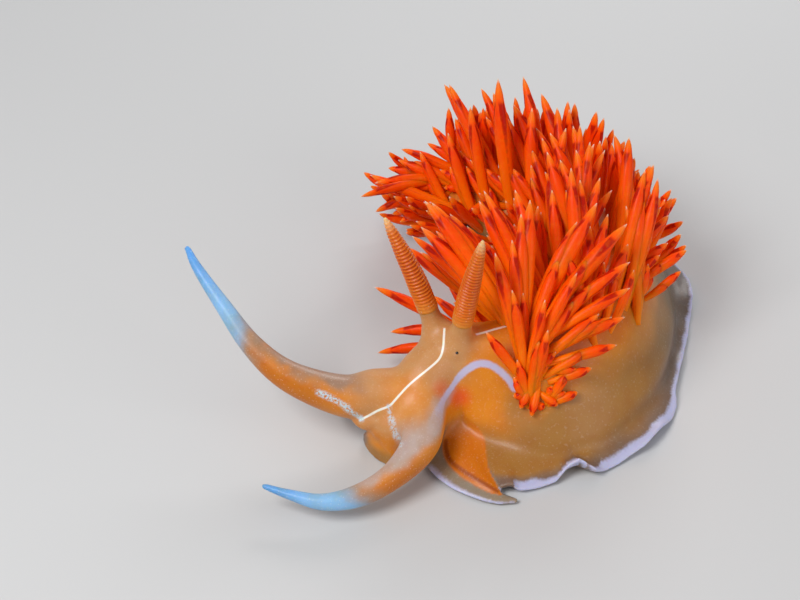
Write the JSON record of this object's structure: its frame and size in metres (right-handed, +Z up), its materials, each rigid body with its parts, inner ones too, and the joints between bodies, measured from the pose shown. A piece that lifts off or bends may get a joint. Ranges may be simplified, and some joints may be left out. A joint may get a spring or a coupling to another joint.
{
  "type": "aeolid sea slug model",
  "caption": "Orange and cream sea slug with long oral tentacles, ringed feelers and a dense coat of finger-like cerata, crawling in a curve.",
  "frame": {"origin": "on the surface that the foot rests on, under the middle of the bounding box", "axes": "+Z up, square to the sole; the head is at the -Y end, turned towards -X, and the tail is at the +Y end"},
  "size_m": [0.0427, 0.0467, 0.0194],
  "materials": {
    "head_skin": "wet translucent yellow-orange skin with white lines",
    "eye": "black bead",
    "cerata": "wet translucent orange with dark red cores and orange tips",
    "foot_skin": "wet translucent tan skin with a pale lilac edge",
    "foot_corner": "wet orange skin with a pale edge",
    "tentacle": "wet translucent orange skin turning bluish white",
    "tentacle_tip": "wet pale blue skin",
    "rhinophore": "wet orange-brown rings with cream edges"
  },
  "bodies": {
    "root": {"head": "head_skin", "eye_left": "eye", "eye_right": "eye", "torso_front": "cerata", "torso_middle": "cerata", "torso_rear": "cerata", "tail": "foot_skin", "foot_front": "foot_skin", "foot_middle": "foot_skin", "foot_rear": "foot_skin", "foot_corner_left": "foot_corner", "foot_corner_right": "foot_corner", "tentacle_left_base": "tentacle", "tentacle_left_middle": "tentacle", "tentacle_left_tip": "tentacle_tip", "tentacle_right_base": "tentacle", "tentacle_right_middle": "tentacle", "tentacle_right_tip": "tentacle_tip", "rhinophore_left": "rhinophore", "rhinophore_right": "rhinophore"}
  },
  "joints": []
}
